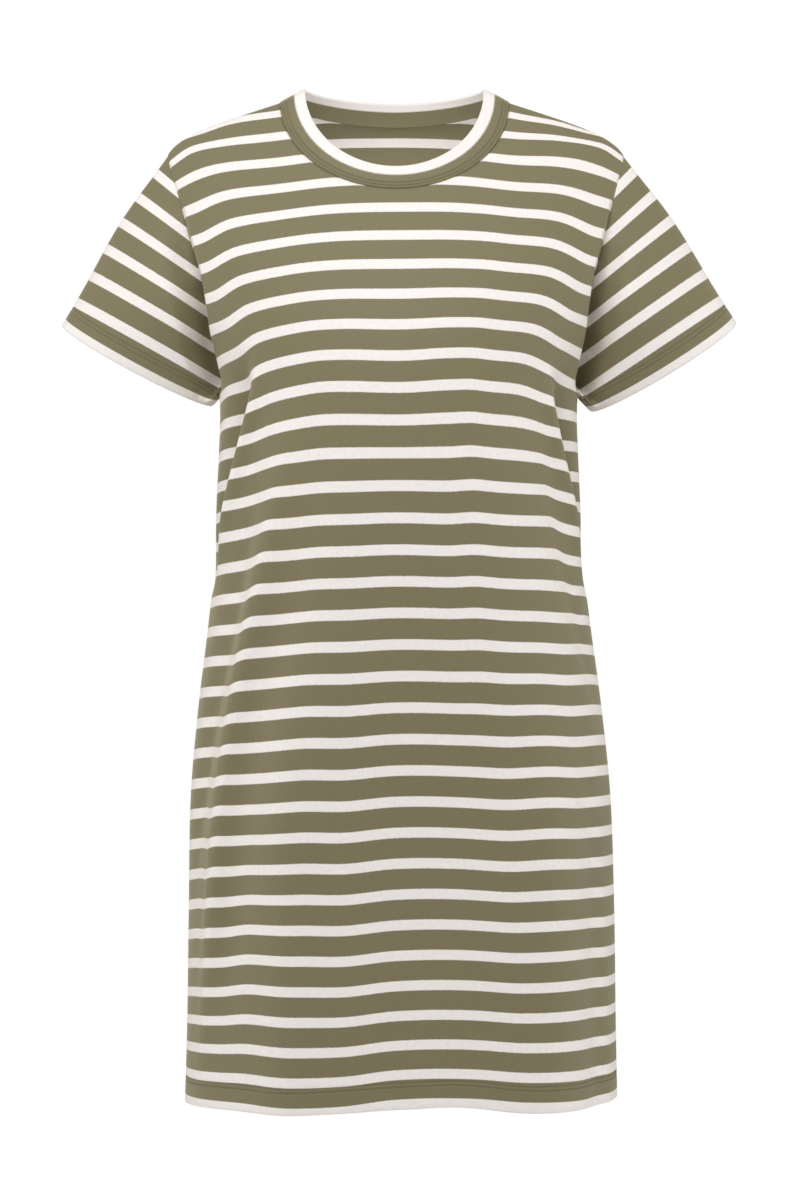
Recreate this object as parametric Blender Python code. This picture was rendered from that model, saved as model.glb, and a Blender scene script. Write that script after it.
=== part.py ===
# Short-sleeved striped jersey dress, filled out and hollow as it is worn.
# Metres, +Z up, the wearer faces -Y. The origin lies midway between the two
# high points of the shoulders, where the wearer holds the dress up.

import math

import bmesh
import bpy
from mathutils import Vector

# Driving sizes
SHOULDER_HALF = 0.1995      # half of the width from sleeve seam to sleeve seam
SHOULDER_DROP = -0.0444     # height of the sleeve seam's top
ARMPIT = -0.254             # height of the bottom of the armhole
HEM = -0.8655               # height of the hem at the side seams
NECK_HALF = 0.0995          # half of the width between the band's seams
NECK_TOP = 0.0020           # height of the band's seam at the shoulder
NECK_FRONT = -0.0794        # height of the band's seam at the centre front
NECK_BACK = -0.0127         # height of the band's seam at the centre back
BAND_HALF = 0.0815          # half of the width between the band's folded edges
BAND_SIDE = 0.0125          # height of the folded edge at the shoulder
BAND_FRONT = -0.0591        # height of the folded edge at the centre front
BAND_BACK = 0.0077          # height of the folded edge at the centre back
BAND_LEAN = 0.87            # how far the folded edge stays out from the middle
BAND_SWELL = 0.0012         # how far the band's middle stands out
SLEEVE_END_DEPTH = 0.0330   # half of the depth of a sleeve's open end
SLEEVE_LENGTH = 0.173       # sleeve along its top, seam to hem
HEM_DEPTH = 0.024           # cloth turned up at the hem and the sleeve ends
HEM_EASE = 0.003            # height over which the wall thins above the hem
WALL = 0.0015               # the single cloth
FOLDED_WALL = 0.0026        # the cloth where it is turned up
BAND_WALL = 0.0026          # the band, folded double
SEAM_GAP = 0.00032          # room between two pieces at a seam
ROUNDNESS = 2.3             # exponent of the body's rings, 2 is an ellipse
ROLL = 0.120                # height over which the cloth rolls over the shoulder

# Grid of the pieces
SHOULDER_STEPS = 8
NECK_FRONT_STEPS = 16
NECK_BACK_STEPS = 12
BODY_STEPS = 24
CHEST_STEPS = 15
SLEEVE_STEPS = 7
NECK_ANGLE = 50.0           # degrees round the ring under the neck's corner
COLUMN_LEAN = 2.0           # how late the columns lean in to the neck's corner
RAMP = 0.35                 # share of a fold's length over which it starts and ends

# Rings of the body: height, half width, depth in front, depth behind, lean to +X
RINGS = (
    (-0.880, 0.1882, 0.1100, 0.1065, 0.0022),
    (-0.800, 0.1862, 0.1100, 0.1085, 0.0026),
    (-0.700, 0.1848, 0.1110, 0.1110, 0.0026),
    (-0.600, 0.1822, 0.1135, 0.1105, 0.0018),
    (-0.520, 0.1746, 0.1165, 0.1040, 0.0012),
    (-0.450, 0.1656, 0.1190, 0.0970, 0.0007),
    (-0.400, 0.1605, 0.1210, 0.0935, 0.0002),
    (-0.350, 0.1582, 0.1220, 0.0935, 0.0000),
    (-0.300, 0.1556, 0.1225, 0.0965, 0.0000),
    (-0.254, 0.1556, 0.1210, 0.1000, 0.0000),
    (-0.225, 0.1628, 0.1185, 0.1015, -0.0003),
    (-0.190, 0.1780, 0.1115, 0.1030, -0.0006),
    (-0.150, 0.1947, 0.0970, 0.1030, -0.0010),
    (-0.115, 0.2025, 0.0790, 0.1010, -0.0014),
    (-0.080, 0.2085, 0.0615, 0.0970, -0.0020),
    (-0.040, 0.2135, 0.0450, 0.0920, -0.0026),
    (0.000, 0.2200, 0.0330, 0.0860, -0.0034),
    (0.030, 0.2240, 0.0280, 0.0800, -0.0038),
)

# Ridge of the shoulder: distance from the middle, height
SHOULDER_RIDGE = (
    (0.000, 0.0300),
    (0.050, 0.0190),
    (0.0995, 0.0020),
    (0.130, -0.0080),
    (0.160, -0.0185),
    (0.180, -0.0275),
    (0.1925, -0.0362),
    (0.1995, -0.0444),
)

# Armhole: height, degrees round the ring in front, and behind
ARMHOLE = (
    (-0.2540, 90.0, 90.0),
    (-0.2517, 82.0, 83.0),
    (-0.2450, 76.5, 78.5),
    (-0.2340, 73.5, 76.0),
    (-0.2121, 68.6, 73.0),
    (-0.1847, 61.6, 69.0),
    (-0.1534, 56.7, 62.5),
    (-0.1195, 57.7, 61.5),
    (-0.0825, 60.7, 62.5),
    (-0.0582, 65.0, 66.0),
    (-0.0444, 67.6, 67.6),
)

# Hem's height against HEM: degrees round from the centre front, rise
HEM_WAVE = (
    (-180, 0.0000), (-140, 0.0030), (-90, 0.0005), (-62, 0.0017), (-45, 0.0021),
    (-28, 0.0014), (-12, 0.0038), (0, 0.0068), (13, 0.0080), (30, 0.0027),
    (48, 0.0021), (62, 0.0029), (90, 0.0050), (140, 0.0030), (180, 0.0000),
)

# Largest folds: degrees round from the centre front at the fold's top and
# bottom, height of its top and bottom, how far it stands out, half width in degrees
FOLDS = (
    (-48, -82, -0.215, -0.430, 0.0050, 7.0),
    (-62, -96, -0.225, -0.440, -0.0125, 10.0),
    (-112, -118, -0.270, -0.420, 0.0055, 16.0),
    (49, 82, -0.215, -0.430, 0.0050, 7.0),
    (62, 95, -0.225, -0.430, -0.0110, 9.0),
    (112, 118, -0.270, -0.420, 0.0045, 16.0),
    (-42, -66, -0.300, -0.900, 0.0050, 12.0),
    (-28, -30, -0.420, -1.100, 0.0060, 14.0),
    (8, 10, -0.450, -1.100, -0.0060, 14.0),
    (40, 44, -0.450, -1.100, 0.0060, 12.0),
    (62, 66, -0.480, -1.100, -0.0040, 9.0),
    (150, 146, -0.330, -1.100, 0.0060, 12.0),
    (174, 178, -0.400, -1.100, -0.0050, 14.0),
    (-154, -148, -0.360, -1.100, 0.0055, 13.0),
    (-122, -126, -0.420, -1.100, -0.0045, 11.0),
    (128, 124, -0.450, -1.100, -0.0040, 10.0),
)

# Open end of each sleeve: name, side, distance out and height of its middle,
# half width, degrees that it drops towards the body, how far its front bows out
SLEEVE_ENDS = (
    ("sleeve_left", 1, 0.2303, -0.2280, 0.0745, 31.5, 0.0085),
    ("sleeve_right", -1, 0.2271, -0.2268, 0.0745, 28.3, 0.0075),
)

# Sleeve's swell and dip: share of the way from the armhole, degrees round
# from the underarm (front is 90), how far it stands out, spread in share, in degrees
SLEEVE_SWELLS = (
    (0.35, 180, 0.0045, 0.40, 60),
    (0.30, 55, -0.0060, 0.35, 35),
    (0.30, 300, -0.0040, 0.35, 35),
    (0.60, 120, 0.0030, 0.40, 30),
    (0.60, 240, 0.0030, 0.40, 30),
)

OLIVE = (0.205, 0.183, 0.110)


def clear_scene():
    for thing in list(bpy.data.objects):
        bpy.data.objects.remove(thing, do_unlink=True)


def jersey(name, colour):
    cloth = bpy.data.materials.new(name)
    cloth.use_nodes = True
    shader = cloth.node_tree.nodes["Principled BSDF"]
    shader.inputs["Base Color"].default_value = (*colour, 1.0)
    shader.inputs["Roughness"].default_value = 0.85
    shader.inputs["Metallic"].default_value = 0.0
    return cloth


def read(table, key, column=1):
    """Value of a table's column at a key, on a smooth curve through its rows."""
    rows = table if table[0][0] < table[-1][0] else table[::-1]
    key = min(max(key, rows[0][0]), rows[-1][0])
    place = max(i for i in range(len(rows) - 1) if rows[i][0] <= key)

    def slope(i):
        low, high = max(i - 1, 0), min(i + 1, len(rows) - 1)
        return (rows[high][column] - rows[low][column]) / (rows[high][0] - rows[low][0])

    span = rows[place + 1][0] - rows[place][0]
    t = (key - rows[place][0]) / span
    start, end = rows[place][column], rows[place + 1][column]
    return ((2 * t**3 - 3 * t**2 + 1) * start + (t**3 - 2 * t**2 + t) * span * slope(place)
            + (3 * t**2 - 2 * t**3) * end + (t**3 - t**2) * span * slope(place + 1))


def ease(share):
    share = min(max(share, 0.0), 1.0)
    return share * share * (3 - 2 * share)


def fold_out(degrees, height):
    """How far the folds push the cloth out at a place on the body."""
    out = 0.0
    for top_angle, low_angle, top, low, stand, spread in FOLDS:
        share = (top - height) / (top - low)
        if 0.0 < share < 1.0:
            away = degrees - (top_angle + (low_angle - top_angle) * share)
            away = (away + 180.0) % 360.0 - 180.0
            strength = ease(share / RAMP) * ease((1.0 - share) / RAMP)
            out += stand * strength * math.exp(-(away / spread) ** 2)
    return out


def body_point(degrees, height):
    """Point of the body's outer face, degrees round from the centre front."""
    half = read(RINGS, height, 1)
    front = math.cos(math.radians(degrees)) >= 0.0
    depth = read(RINGS, height, 2 if front else 3)
    across = math.sin(math.radians(degrees))
    along = math.cos(math.radians(degrees))
    x = half * math.copysign(abs(across) ** (2 / ROUNDNESS), across)
    y = -depth * math.copysign(abs(along) ** (2 / ROUNDNESS), along)
    room = min(max((read(SHOULDER_RIDGE, abs(x)) - height) / ROLL, 0.0), 1.0)
    y *= math.sqrt(1.0 - (1.0 - room) ** 2)
    facing = Vector((math.copysign(abs(across) ** (2 - 2 / ROUNDNESS), across) / half,
                     -math.copysign(abs(along) ** (2 - 2 / ROUNDNESS), along) / depth, 0.0))
    place = Vector((x + read(RINGS, height, 4), y, height))
    return place + facing.normalized() * fold_out(degrees, height)


def ring_angle(x, height):
    """Degrees round from the centre, front or back, of a distance x on a ring."""
    share = min(abs(x) / read(RINGS, height, 1), 1.0)
    return math.copysign(math.degrees(math.asin(share ** (ROUNDNESS / 2))), x)


def spread_evenly(count):
    return [i / count for i in range(count + 1)]


def ring_reach(degrees, height):
    """Distance from the middle of a place on a ring."""
    return read(RINGS, height, 1) * math.sin(math.radians(degrees)) ** (2 / ROUNDNESS)


def panel_columns(neck_steps):
    """Ring angles of a panel's columns at the armpit, from -90 to 90."""
    side = [90.0 - (90.0 - NECK_ANGLE) * s for s in spread_evenly(SHOULDER_STEPS)]
    neck = [-NECK_ANGLE + 2 * NECK_ANGLE * s for s in spread_evenly(neck_steps)]
    return [-angle for angle in side] + neck[1:-1] + side[::-1]


def top_edge(neck_steps, neckline):
    """Distance and height along a panel's top: shoulder, neckline, shoulder."""
    reaches = [SHOULDER_HALF + (NECK_HALF - SHOULDER_HALF) * s
               for s in spread_evenly(SHOULDER_STEPS)]
    shoulder = [(x, read(SHOULDER_RIDGE, x)) for x in reaches]
    neck = [neckline(-90.0 + 180.0 * s) for s in spread_evenly(neck_steps)]
    return [(-x, height) for x, height in shoulder] + neck[1:-1] + shoulder[::-1]


def front_neckline(turn):
    turn = math.radians(turn)
    return NECK_HALF * math.sin(turn), NECK_TOP + (NECK_FRONT - NECK_TOP) * math.cos(turn)


def back_neckline(turn):
    turn = math.radians(turn)
    return NECK_HALF * math.sin(turn), NECK_TOP + (NECK_BACK - NECK_TOP) * math.cos(turn) ** 2


def chest_shares():
    """Rows from armpit to shoulder, closer together where the cloth turns."""
    return [(1.0 - math.cos(math.pi * s)) / 2 for s in spread_evenly(CHEST_STEPS)]


def body_shares():
    """Rows from hem to armpit; the first three are the turned-up hem."""
    turned = HEM_DEPTH / (ARMPIT - HEM)
    above = (HEM_DEPTH + HEM_EASE) / (ARMPIT - HEM)
    return [0.0, turned] + [above + (1.0 - above) * s for s in spread_evenly(BODY_STEPS)]


def panel_grid(neck_steps, neckline, armhole_column, behind):
    """Outer points of a body panel, rows from the hem up, columns from -X to +X."""
    def around(angle):
        return 180.0 - angle if behind else angle

    columns = panel_columns(neck_steps)
    end_reach = ring_reach(read(ARMHOLE, SHOULDER_DROP, armhole_column), SHOULDER_DROP)
    rows = []
    for share in body_shares()[:-1]:
        row = []
        for angle in columns:
            low = HEM + read(HEM_WAVE, (around(angle) + 180.0) % 360.0 - 180.0)
            row.append(body_point(around(angle), low + (ARMPIT - low) * share))
        rows.append(row)
    for up in chest_shares():
        side_height = ARMPIT + (SHOULDER_DROP - ARMPIT) * up
        side_reach = ring_reach(read(ARMHOLE, side_height, armhole_column), side_height)
        row = []
        for angle, (top_x, top_height) in zip(columns, top_edge(neck_steps, neckline)):
            low_share = math.copysign(ring_reach(abs(angle), ARMPIT), angle) / ring_reach(90, ARMPIT)
            share = low_share + (top_x / end_reach - low_share) * up ** COLUMN_LEAN
            height = side_height + (top_height - SHOULDER_DROP) * up
            row.append(body_point(around(ring_angle(side_reach * share, height)), height))
        rows.append(row)
    return rows


def sleeve_grid(armhole, end_shape):
    """Outer points of a sleeve, rows from the armhole out, columns round from
    the underarm over the front, the shoulder and the back."""
    _, side, end_x, end_height, half, drop, bow = end_shape
    lengths = [0.0]
    for start, end in zip(armhole, armhole[1:] + armhole[:1]):
        lengths.append(lengths[-1] + (end - start).length)
    drop = math.radians(drop)
    inwards = Vector((-math.cos(drop) * side, 0.0, -math.sin(drop)))
    outwards = Vector((math.sin(drop) * side, 0.0, -math.cos(drop)))
    middle = Vector((end_x * side, 0.0, end_height))
    turned = HEM_DEPTH / SLEEVE_LENGTH
    shares = [s * (1 - turned) for s in spread_evenly(SLEEVE_STEPS)] + [1.0]
    rows = []
    for share in shares:
        row = []
        for start, length in zip(armhole, lengths):
            degrees = 360.0 * length / lengths[-1]
            turn = math.radians(degrees)
            facing = (inwards * math.cos(turn) / half
                      + Vector((0.0, -math.sin(turn) / SLEEVE_END_DEPTH, 0.0))).normalized()
            end = (middle + inwards * math.cos(turn) * half + outwards * math.sin(turn) * bow
                   + Vector((0.0, -math.sin(turn) * SLEEVE_END_DEPTH, 0.0)))
            swell = 0.0
            for place, around, stand, spread, wide in SLEEVE_SWELLS:
                swell += (stand * math.exp(-((share - place) / spread) ** 2)
                          * math.exp(-((degrees - around) / wide) ** 2))
            swell *= 4 * share * (1 - share)
            row.append(start.lerp(end, share) + facing * swell)
        rows.append(row)
    return rows


def band_grid(front, back):
    """Outer points of the neckband, rows from its seam to its folded edge."""
    neck_front = front[-1][SHOULDER_STEPS:-SHOULDER_STEPS]
    neck_back = back[-1][SHOULDER_STEPS:-SHOULDER_STEPS]
    seam = neck_front + neck_back[::-1][1:-1]
    rows = [seam, [], []]
    for number, point in enumerate(seam):
        at_front = number <= NECK_FRONT_STEPS
        if at_front:
            turn = math.radians(-90.0 + 180.0 * number / NECK_FRONT_STEPS)
            height = BAND_SIDE + (BAND_FRONT - BAND_SIDE) * math.cos(turn)
        else:
            turn = math.radians(90.0 - 180.0 * (number - NECK_FRONT_STEPS) / NECK_BACK_STEPS)
            height = BAND_SIDE + (BAND_BACK - BAND_SIDE) * math.cos(turn) ** 2
        lean = read(RINGS, height, 4)
        edge = Vector((BAND_HALF * math.sin(turn) + lean, point.y * BAND_LEAN, height))
        middle = point.lerp(edge, 0.5)
        swell = Vector((math.sin(turn), -math.cos(turn) if at_front else math.cos(turn), 1.0))
        rows[1].append(middle + swell.normalized() * BAND_SWELL)
        rows[2].append(edge)
    return rows


def facing_out(rows, closed, sign):
    """Outward direction at each point of a grid."""
    found = []
    count = len(rows[0])
    for i, row in enumerate(rows):
        found.append([])
        for j in range(count):
            before = (j - 1) % count if closed else max(j - 1, 0)
            after = (j + 1) % count if closed else min(j + 1, count - 1)
            along = row[after] - row[before]
            up = rows[min(i + 1, len(rows) - 1)][j] - rows[max(i - 1, 0)][j]
            found[-1].append((along.cross(up) * sign).normalized())
    return found


def seam_key(point):
    return tuple(round(value * 1e5) for value in point)


class Piece:
    """One cut piece: its outer points, its facing, and which edges are sewn."""

    def __init__(self, name, rows, walls, closed=False, sign=1.0, sewn=("low", "top", "sides")):
        self.name = name
        self.rows = rows
        self.walls = walls
        self.closed = closed
        self.sewn = sewn
        self.facing = facing_out(rows, closed, sign)

    def edge_places(self):
        last_row, last_column = len(self.rows) - 1, len(self.rows[0]) - 1
        for i in range(last_row + 1):
            for j in range(last_column + 1):
                on_side = not self.closed and j in (0, last_column)
                if i in (0, last_row) or on_side:
                    yield i, j

    def step_back(self, i, j):
        """Half of the seam's gap, square to the seam and into the piece."""
        rows, last_row, count = self.rows, len(self.rows) - 1, len(self.rows[0])
        move = Vector((0.0, 0.0, 0.0))

        def away(seam, inside):
            across = seam.cross(self.facing[i][j]).normalized()
            return across if across.dot(inside) > 0 else -across

        if (i == 0 and "low" in self.sewn) or (i == last_row and "top" in self.sewn):
            before = (j - 1) % count if self.closed else max(j - 1, 0)
            after = (j + 1) % count if self.closed else min(j + 1, count - 1)
            inside = rows[1 if i == 0 else last_row - 1][j] - rows[i][j]
            move += away(rows[i][after] - rows[i][before], inside)
        if not self.closed and j in (0, count - 1) and "sides" in self.sewn:
            inside = rows[i][1 if j == 0 else count - 2] - rows[i][j]
            move += away(rows[min(i + 1, last_row)][j] - rows[max(i - 1, 0)][j], inside)
        return move * SEAM_GAP / 2


def share_facings(pieces):
    """Give sewn edges that meet one common direction, so that walls meet square."""
    none = Vector((0.0, 0.0, 0.0))
    panels, others = {}, {}
    for piece in pieces:
        sums = panels if piece.name in ("front", "back") else others
        for i, j in piece.edge_places():
            key = seam_key(piece.rows[i][j])
            sums[key] = sums.get(key, none) + piece.facing[i][j]
    for piece in pieces:
        for i, j in piece.edge_places():
            key = seam_key(piece.rows[i][j])
            common = panels.get(key, none).normalized() + others.get(key, none).normalized()
            piece.facing[i][j] = common.normalized()


def sew_solid(piece, material):
    """Make a piece's grid a closed wall of cloth."""
    moves = {place: piece.step_back(*place) for place in piece.edge_places()}
    mesh = bmesh.new()
    outer, inner = [], []
    for i, row in enumerate(piece.rows):
        outer.append([])
        inner.append([])
        for j, point in enumerate(row):
            place = point + moves.get((i, j), Vector((0.0, 0.0, 0.0)))
            outer[-1].append(mesh.verts.new(place))
            inner[-1].append(mesh.verts.new(place - piece.facing[i][j] * piece.walls[i]))
    count = len(piece.rows[0])
    last = len(piece.rows) - 1
    spans = [(j, (j + 1) % count) for j in range(count if piece.closed else count - 1)]
    for i in range(last):
        for j, k in spans:
            mesh.faces.new((outer[i][j], outer[i][k], outer[i + 1][k], outer[i + 1][j]))
            mesh.faces.new((inner[i][j], inner[i + 1][j], inner[i + 1][k], inner[i][k]))
        if not piece.closed:
            for j in (0, count - 1):
                mesh.faces.new((outer[i][j], outer[i + 1][j], inner[i + 1][j], inner[i][j]))
    for i in (0, last):
        for j, k in spans:
            mesh.faces.new((outer[i][j], outer[i][k], inner[i][k], inner[i][j]))
    bmesh.ops.recalc_face_normals(mesh, faces=mesh.faces)
    data = bpy.data.meshes.new(piece.name)
    mesh.to_mesh(data)
    mesh.free()
    data.shade_smooth()
    data.materials.append(material)
    solid = bpy.data.objects.new(piece.name, data)
    bpy.context.scene.collection.objects.link(solid)
    return solid


def body_walls():
    """Wall of each row of a body panel, thicker where the hem is turned up."""
    count = len(body_shares()) + CHEST_STEPS
    return [FOLDED_WALL] * 2 + [WALL] * (count - 2)


def build_dress():
    front_rows = panel_grid(NECK_FRONT_STEPS, front_neckline, 1, behind=False)
    back_rows = panel_grid(NECK_BACK_STEPS, back_neckline, 2, behind=True)
    front = Piece("front", front_rows, body_walls(), sewn=("top", "sides"))
    back = Piece("back", back_rows, body_walls(), sign=-1.0, sewn=("top", "sides"))
    pieces = [front, back]
    chest = len(body_shares()) - 1
    for end_shape in SLEEVE_ENDS:
        name, side = end_shape[:2]
        column = -1 if side > 0 else 0
        up_front = [row[column] for row in front_rows[chest:]]
        down_back = [row[column] for row in back_rows[chest:]][::-1]
        rows = sleeve_grid(up_front + down_back[1:-1], end_shape)
        walls = [WALL] * SLEEVE_STEPS + [FOLDED_WALL] * 2
        pieces.append(Piece(name, rows, walls, closed=True, sign=-side, sewn=("low",)))
    band_rows = band_grid(front_rows, back_rows)
    pieces.append(Piece("neckband", band_rows, [WALL] + [BAND_WALL] * 2, closed=True, sewn=("low",)))
    share_facings(pieces)
    cloth = jersey("olive_and_white_jersey", OLIVE)
    return [sew_solid(piece, cloth) for piece in pieces]


clear_scene()
build_dress()
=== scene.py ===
import math

import bmesh
import bpy
import numpy as np
from mathutils import Matrix, Vector


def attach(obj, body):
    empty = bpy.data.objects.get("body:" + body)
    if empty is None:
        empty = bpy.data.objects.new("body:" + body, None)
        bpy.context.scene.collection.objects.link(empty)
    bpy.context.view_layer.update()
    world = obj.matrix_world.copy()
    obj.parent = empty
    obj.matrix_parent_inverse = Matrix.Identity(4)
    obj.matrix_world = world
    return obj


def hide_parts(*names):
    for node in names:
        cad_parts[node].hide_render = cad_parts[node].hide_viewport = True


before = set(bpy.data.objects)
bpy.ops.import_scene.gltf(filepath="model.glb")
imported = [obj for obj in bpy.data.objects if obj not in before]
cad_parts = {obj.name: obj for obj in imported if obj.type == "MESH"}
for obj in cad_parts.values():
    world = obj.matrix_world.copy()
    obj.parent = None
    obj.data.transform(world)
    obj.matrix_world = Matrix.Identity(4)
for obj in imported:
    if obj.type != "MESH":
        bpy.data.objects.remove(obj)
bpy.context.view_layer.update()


# Front: one panel of fine cotton jersey, olive with white cross stripes, from the shoulders
# to the hem. It is sewn to the back at the shoulders and sides, and its lower edge is
# turned up inside and twin-needle stitched.

# The jersey's chart counts metres across and white stripes up
OLIVE = (0.196, 0.172, 0.089, 1.0)
WHITE = (0.925, 0.870, 0.835, 1.0)
STRIPE_PITCH = 0.026        # from one white stripe to the next
WHITE_HALF = 0.168          # half of a white stripe, in pitches
STRIPE_BLUR = 0.014         # soft edge of a white stripe, in pitches
EDGE_WANDER = 0.03          # how far that edge wanders, in pitches
EDGE_GRAIN = 700.0          # grain of the wandering, per metre
HEATHER = (0.93, 1.07)      # darkest and lightest mix of the yarn
HEATHER_GRAIN = 260.0       # grain of the mix, per metre
WALE = 0.0009               # width of one column of knit loops
COURSE = 0.0007             # height of one row of knit loops
LOOP_RELIEF = 0.0002        # how far the loops stand out
LOOP_STRENGTH = 0.25


def node(tree, kind, inputs=(), **settings):
    """A shader node with its settings and inputs; an input is a value or a socket."""
    made = tree.nodes.new(kind)
    for name, value in settings.items():
        setattr(made, name, value)
    for place, value in inputs:
        if isinstance(value, bpy.types.NodeSocket):
            tree.links.new(value, made.inputs[place])
        else:
            made.inputs[place].default_value = value
    return made


def maths(tree, operation, *values):
    """Output of a maths node on values or sockets."""
    return node(tree, "ShaderNodeMath", enumerate(values), operation=operation).outputs[0]


def jersey():
    """Striped single knit, with a soft nap."""
    cloth = bpy.data.materials.new("striped_jersey")
    cloth.use_nodes = True
    tree = cloth.node_tree
    shader = tree.nodes["Principled BSDF"]
    place = node(tree, "ShaderNodeUVMap", uv_map="cloth").outputs[0]
    parts = node(tree, "ShaderNodeSeparateXYZ", [(0, place)])
    across, count = parts.outputs[0], parts.outputs[1]
    metres = node(tree, "ShaderNodeCombineXYZ",
                  [(0, across), (1, maths(tree, "MULTIPLY", count, STRIPE_PITCH))]).outputs[0]
    fuzz = node(tree, "ShaderNodeTexNoise",
                [("Vector", metres), ("Scale", EDGE_GRAIN), ("Detail", 2.0)])
    shift = maths(tree, "MULTIPLY", maths(tree, "SUBTRACT", fuzz.outputs[0], 0.5), EDGE_WANDER)
    moved = maths(tree, "ADD", count, shift)
    from_middle = maths(tree, "ABSOLUTE", maths(tree, "SUBTRACT", moved, maths(tree, "ROUND", moved)))
    olive_share = node(tree, "ShaderNodeMapRange",
                       [("Value", from_middle), ("From Min", WHITE_HALF - STRIPE_BLUR),
                        ("From Max", WHITE_HALF + STRIPE_BLUR)]).outputs[0]
    heather = node(tree, "ShaderNodeTexNoise",
                   [("Vector", metres), ("Scale", HEATHER_GRAIN), ("Detail", 3.0)])
    shade = node(tree, "ShaderNodeMapRange",
                 [("Value", heather.outputs[0]), ("To Min", HEATHER[0]),
                  ("To Max", HEATHER[1])]).outputs[0]
    colour = node(tree, "ShaderNodeMix", [(0, olive_share), (6, WHITE), (7, OLIVE)], data_type="RGBA")
    tone = node(tree, "ShaderNodeVectorMath", [(0, colour.outputs[2]), (1, shade)], operation="MULTIPLY")
    tree.links.new(tone.outputs[0], shader.inputs["Base Color"])
    wales = maths(tree, "SINE", maths(tree, "MULTIPLY", across, 2 * math.pi / WALE))
    courses = maths(tree, "SINE", maths(tree, "MULTIPLY", count, 2 * math.pi * STRIPE_PITCH / COURSE))
    loops = maths(tree, "ADD", maths(tree, "MULTIPLY", wales, 0.6), maths(tree, "MULTIPLY", courses, 0.4))
    bump = node(tree, "ShaderNodeBump",
                [("Strength", LOOP_STRENGTH), ("Distance", LOOP_RELIEF), ("Height", loops)])
    tree.links.new(bump.outputs[0], shader.inputs["Normal"])
    shader.inputs["Roughness"].default_value = 0.62
    shader.inputs["Specular IOR Level"].default_value = 0.42
    shader.inputs["Sheen Weight"].default_value = 0.35
    shader.inputs["Sheen Roughness"].default_value = 0.50
    shader.inputs["Sheen Tint"].default_value = (1.0, 0.86, 0.62, 1.0)
    return cloth


striped = jersey()

# Sizes in metres, with the origin between the shoulders
HEM = -0.8655               # height of the hem at the side seams
ARMPIT = -0.254             # height of the bottom of the armhole
SHOULDER_HALF = 0.1995      # half of the width from sleeve seam to sleeve seam
SHOULDER_DROP = -0.0444     # height of the sleeve seam's top
NECK_HALF = 0.0995          # half of the width between the neckband's seams
NECK_TOP = 0.0020           # height of the neckband's seam at the shoulder
NECK_FRONT = -0.0794        # height of the neckband's seam at the centre front
NECK_BACK = -0.0098         # height of the neckband's seam at the centre back
NECK_ANGLE = 50.0           # degrees round the ring under the neck's corner
ROUNDNESS = 2.3             # exponent of the body's rings, 2 is an ellipse
ROLL = 0.120                # height over which the cloth rolls over the shoulder
RAMP = 0.35                 # share of a fold's length over which it starts and ends
CLOTH = 0.0012              # thickness of the jersey
HEM_FOLD = 0.0026           # thickness of the hem, two layers
HEM_DEPTH = 0.024           # cloth turned up at the hem and the sleeve ends
WHITE_EDGE = 0.0050         # from the hem's edge to the middle of its white stripe
SEAM_DIP = 0.0012           # how deep a seam pulls the cloth in
SEAM_WIDE = 0.0017          # how far from the seam it does so
TUCK = 0.038                # how deep the front's armhole seam is drawn in
TUCK_LOW = -0.2525          # height where that starts, at the armpit
TUCK_START = 0.012          # height over which it starts
TUCK_TOP = -0.060           # height where it ends
TUCK_FADE = 0.150           # height over which it fades
TUCK_ROLL = 0.0055          # width of the front's rolled edge
TUCK_VALLEY = 0.040         # width of the valley in the sleeve beside it
HEM_STITCHES = (0.0190, 0.0225)     # heights of the twin rows of stitches above the edge
HEM_SEWING = (0.0170, 0.0250)       # heights between which the places lie close
SEW_DENT = 0.0005           # how deep a row of stitches pulls the cloth in
SEW_WIDE = 0.0008           # how far from the row it does so
SEW_ROWS = 14               # rows of places across the sewing
HEM_ROWS = 12               # rows round the turned-up hem
BODY_ROWS = 124             # rows from the hem to the armpit
CHEST_ROWS = 84             # rows from the armpit to the shoulder
CHEST_CROWD = 0.70          # how much closer these lie at their ends
SHOULDER_COLUMNS = 48       # columns on each side of the neck
SHOULDER_CROWD = 0.75
NECK_COLUMNS = 84           # columns under the neck

# Rings of the body: height, half width, depth in front, depth behind, lean to +X
RINGS = (
    (-0.880, 0.1882, 0.1100, 0.1065, 0.0022),
    (-0.800, 0.1862, 0.1100, 0.1085, 0.0026),
    (-0.700, 0.1848, 0.1110, 0.1110, 0.0026),
    (-0.600, 0.1822, 0.1135, 0.1105, 0.0018),
    (-0.520, 0.1746, 0.1165, 0.1040, 0.0012),
    (-0.450, 0.1656, 0.1190, 0.0970, 0.0007),
    (-0.400, 0.1605, 0.1210, 0.0935, 0.0002),
    (-0.350, 0.1582, 0.1220, 0.0935, 0.0000),
    (-0.300, 0.1556, 0.1225, 0.0965, 0.0000),
    (-0.254, 0.1556, 0.1210, 0.1000, 0.0000),
    (-0.225, 0.1628, 0.1185, 0.1015, -0.0003),
    (-0.190, 0.1780, 0.1115, 0.1030, -0.0006),
    (-0.150, 0.1947, 0.0970, 0.1030, -0.0010),
    (-0.115, 0.2025, 0.0790, 0.1010, -0.0014),
    (-0.080, 0.2085, 0.0615, 0.0970, -0.0020),
    (-0.040, 0.2135, 0.0450, 0.0920, -0.0026),
    (0.000, 0.2200, 0.0330, 0.0860, -0.0034),
    (0.030, 0.2240, 0.0280, 0.0800, -0.0038),
)

# Ridge of the shoulder: distance from the middle, height
SHOULDER_RIDGE = (
    (0.000, 0.0300),
    (0.050, 0.0190),
    (0.0995, 0.0020),
    (0.130, -0.0080),
    (0.160, -0.0185),
    (0.180, -0.0275),
    (0.1925, -0.0362),
    (0.1995, -0.0444),
)

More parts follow.
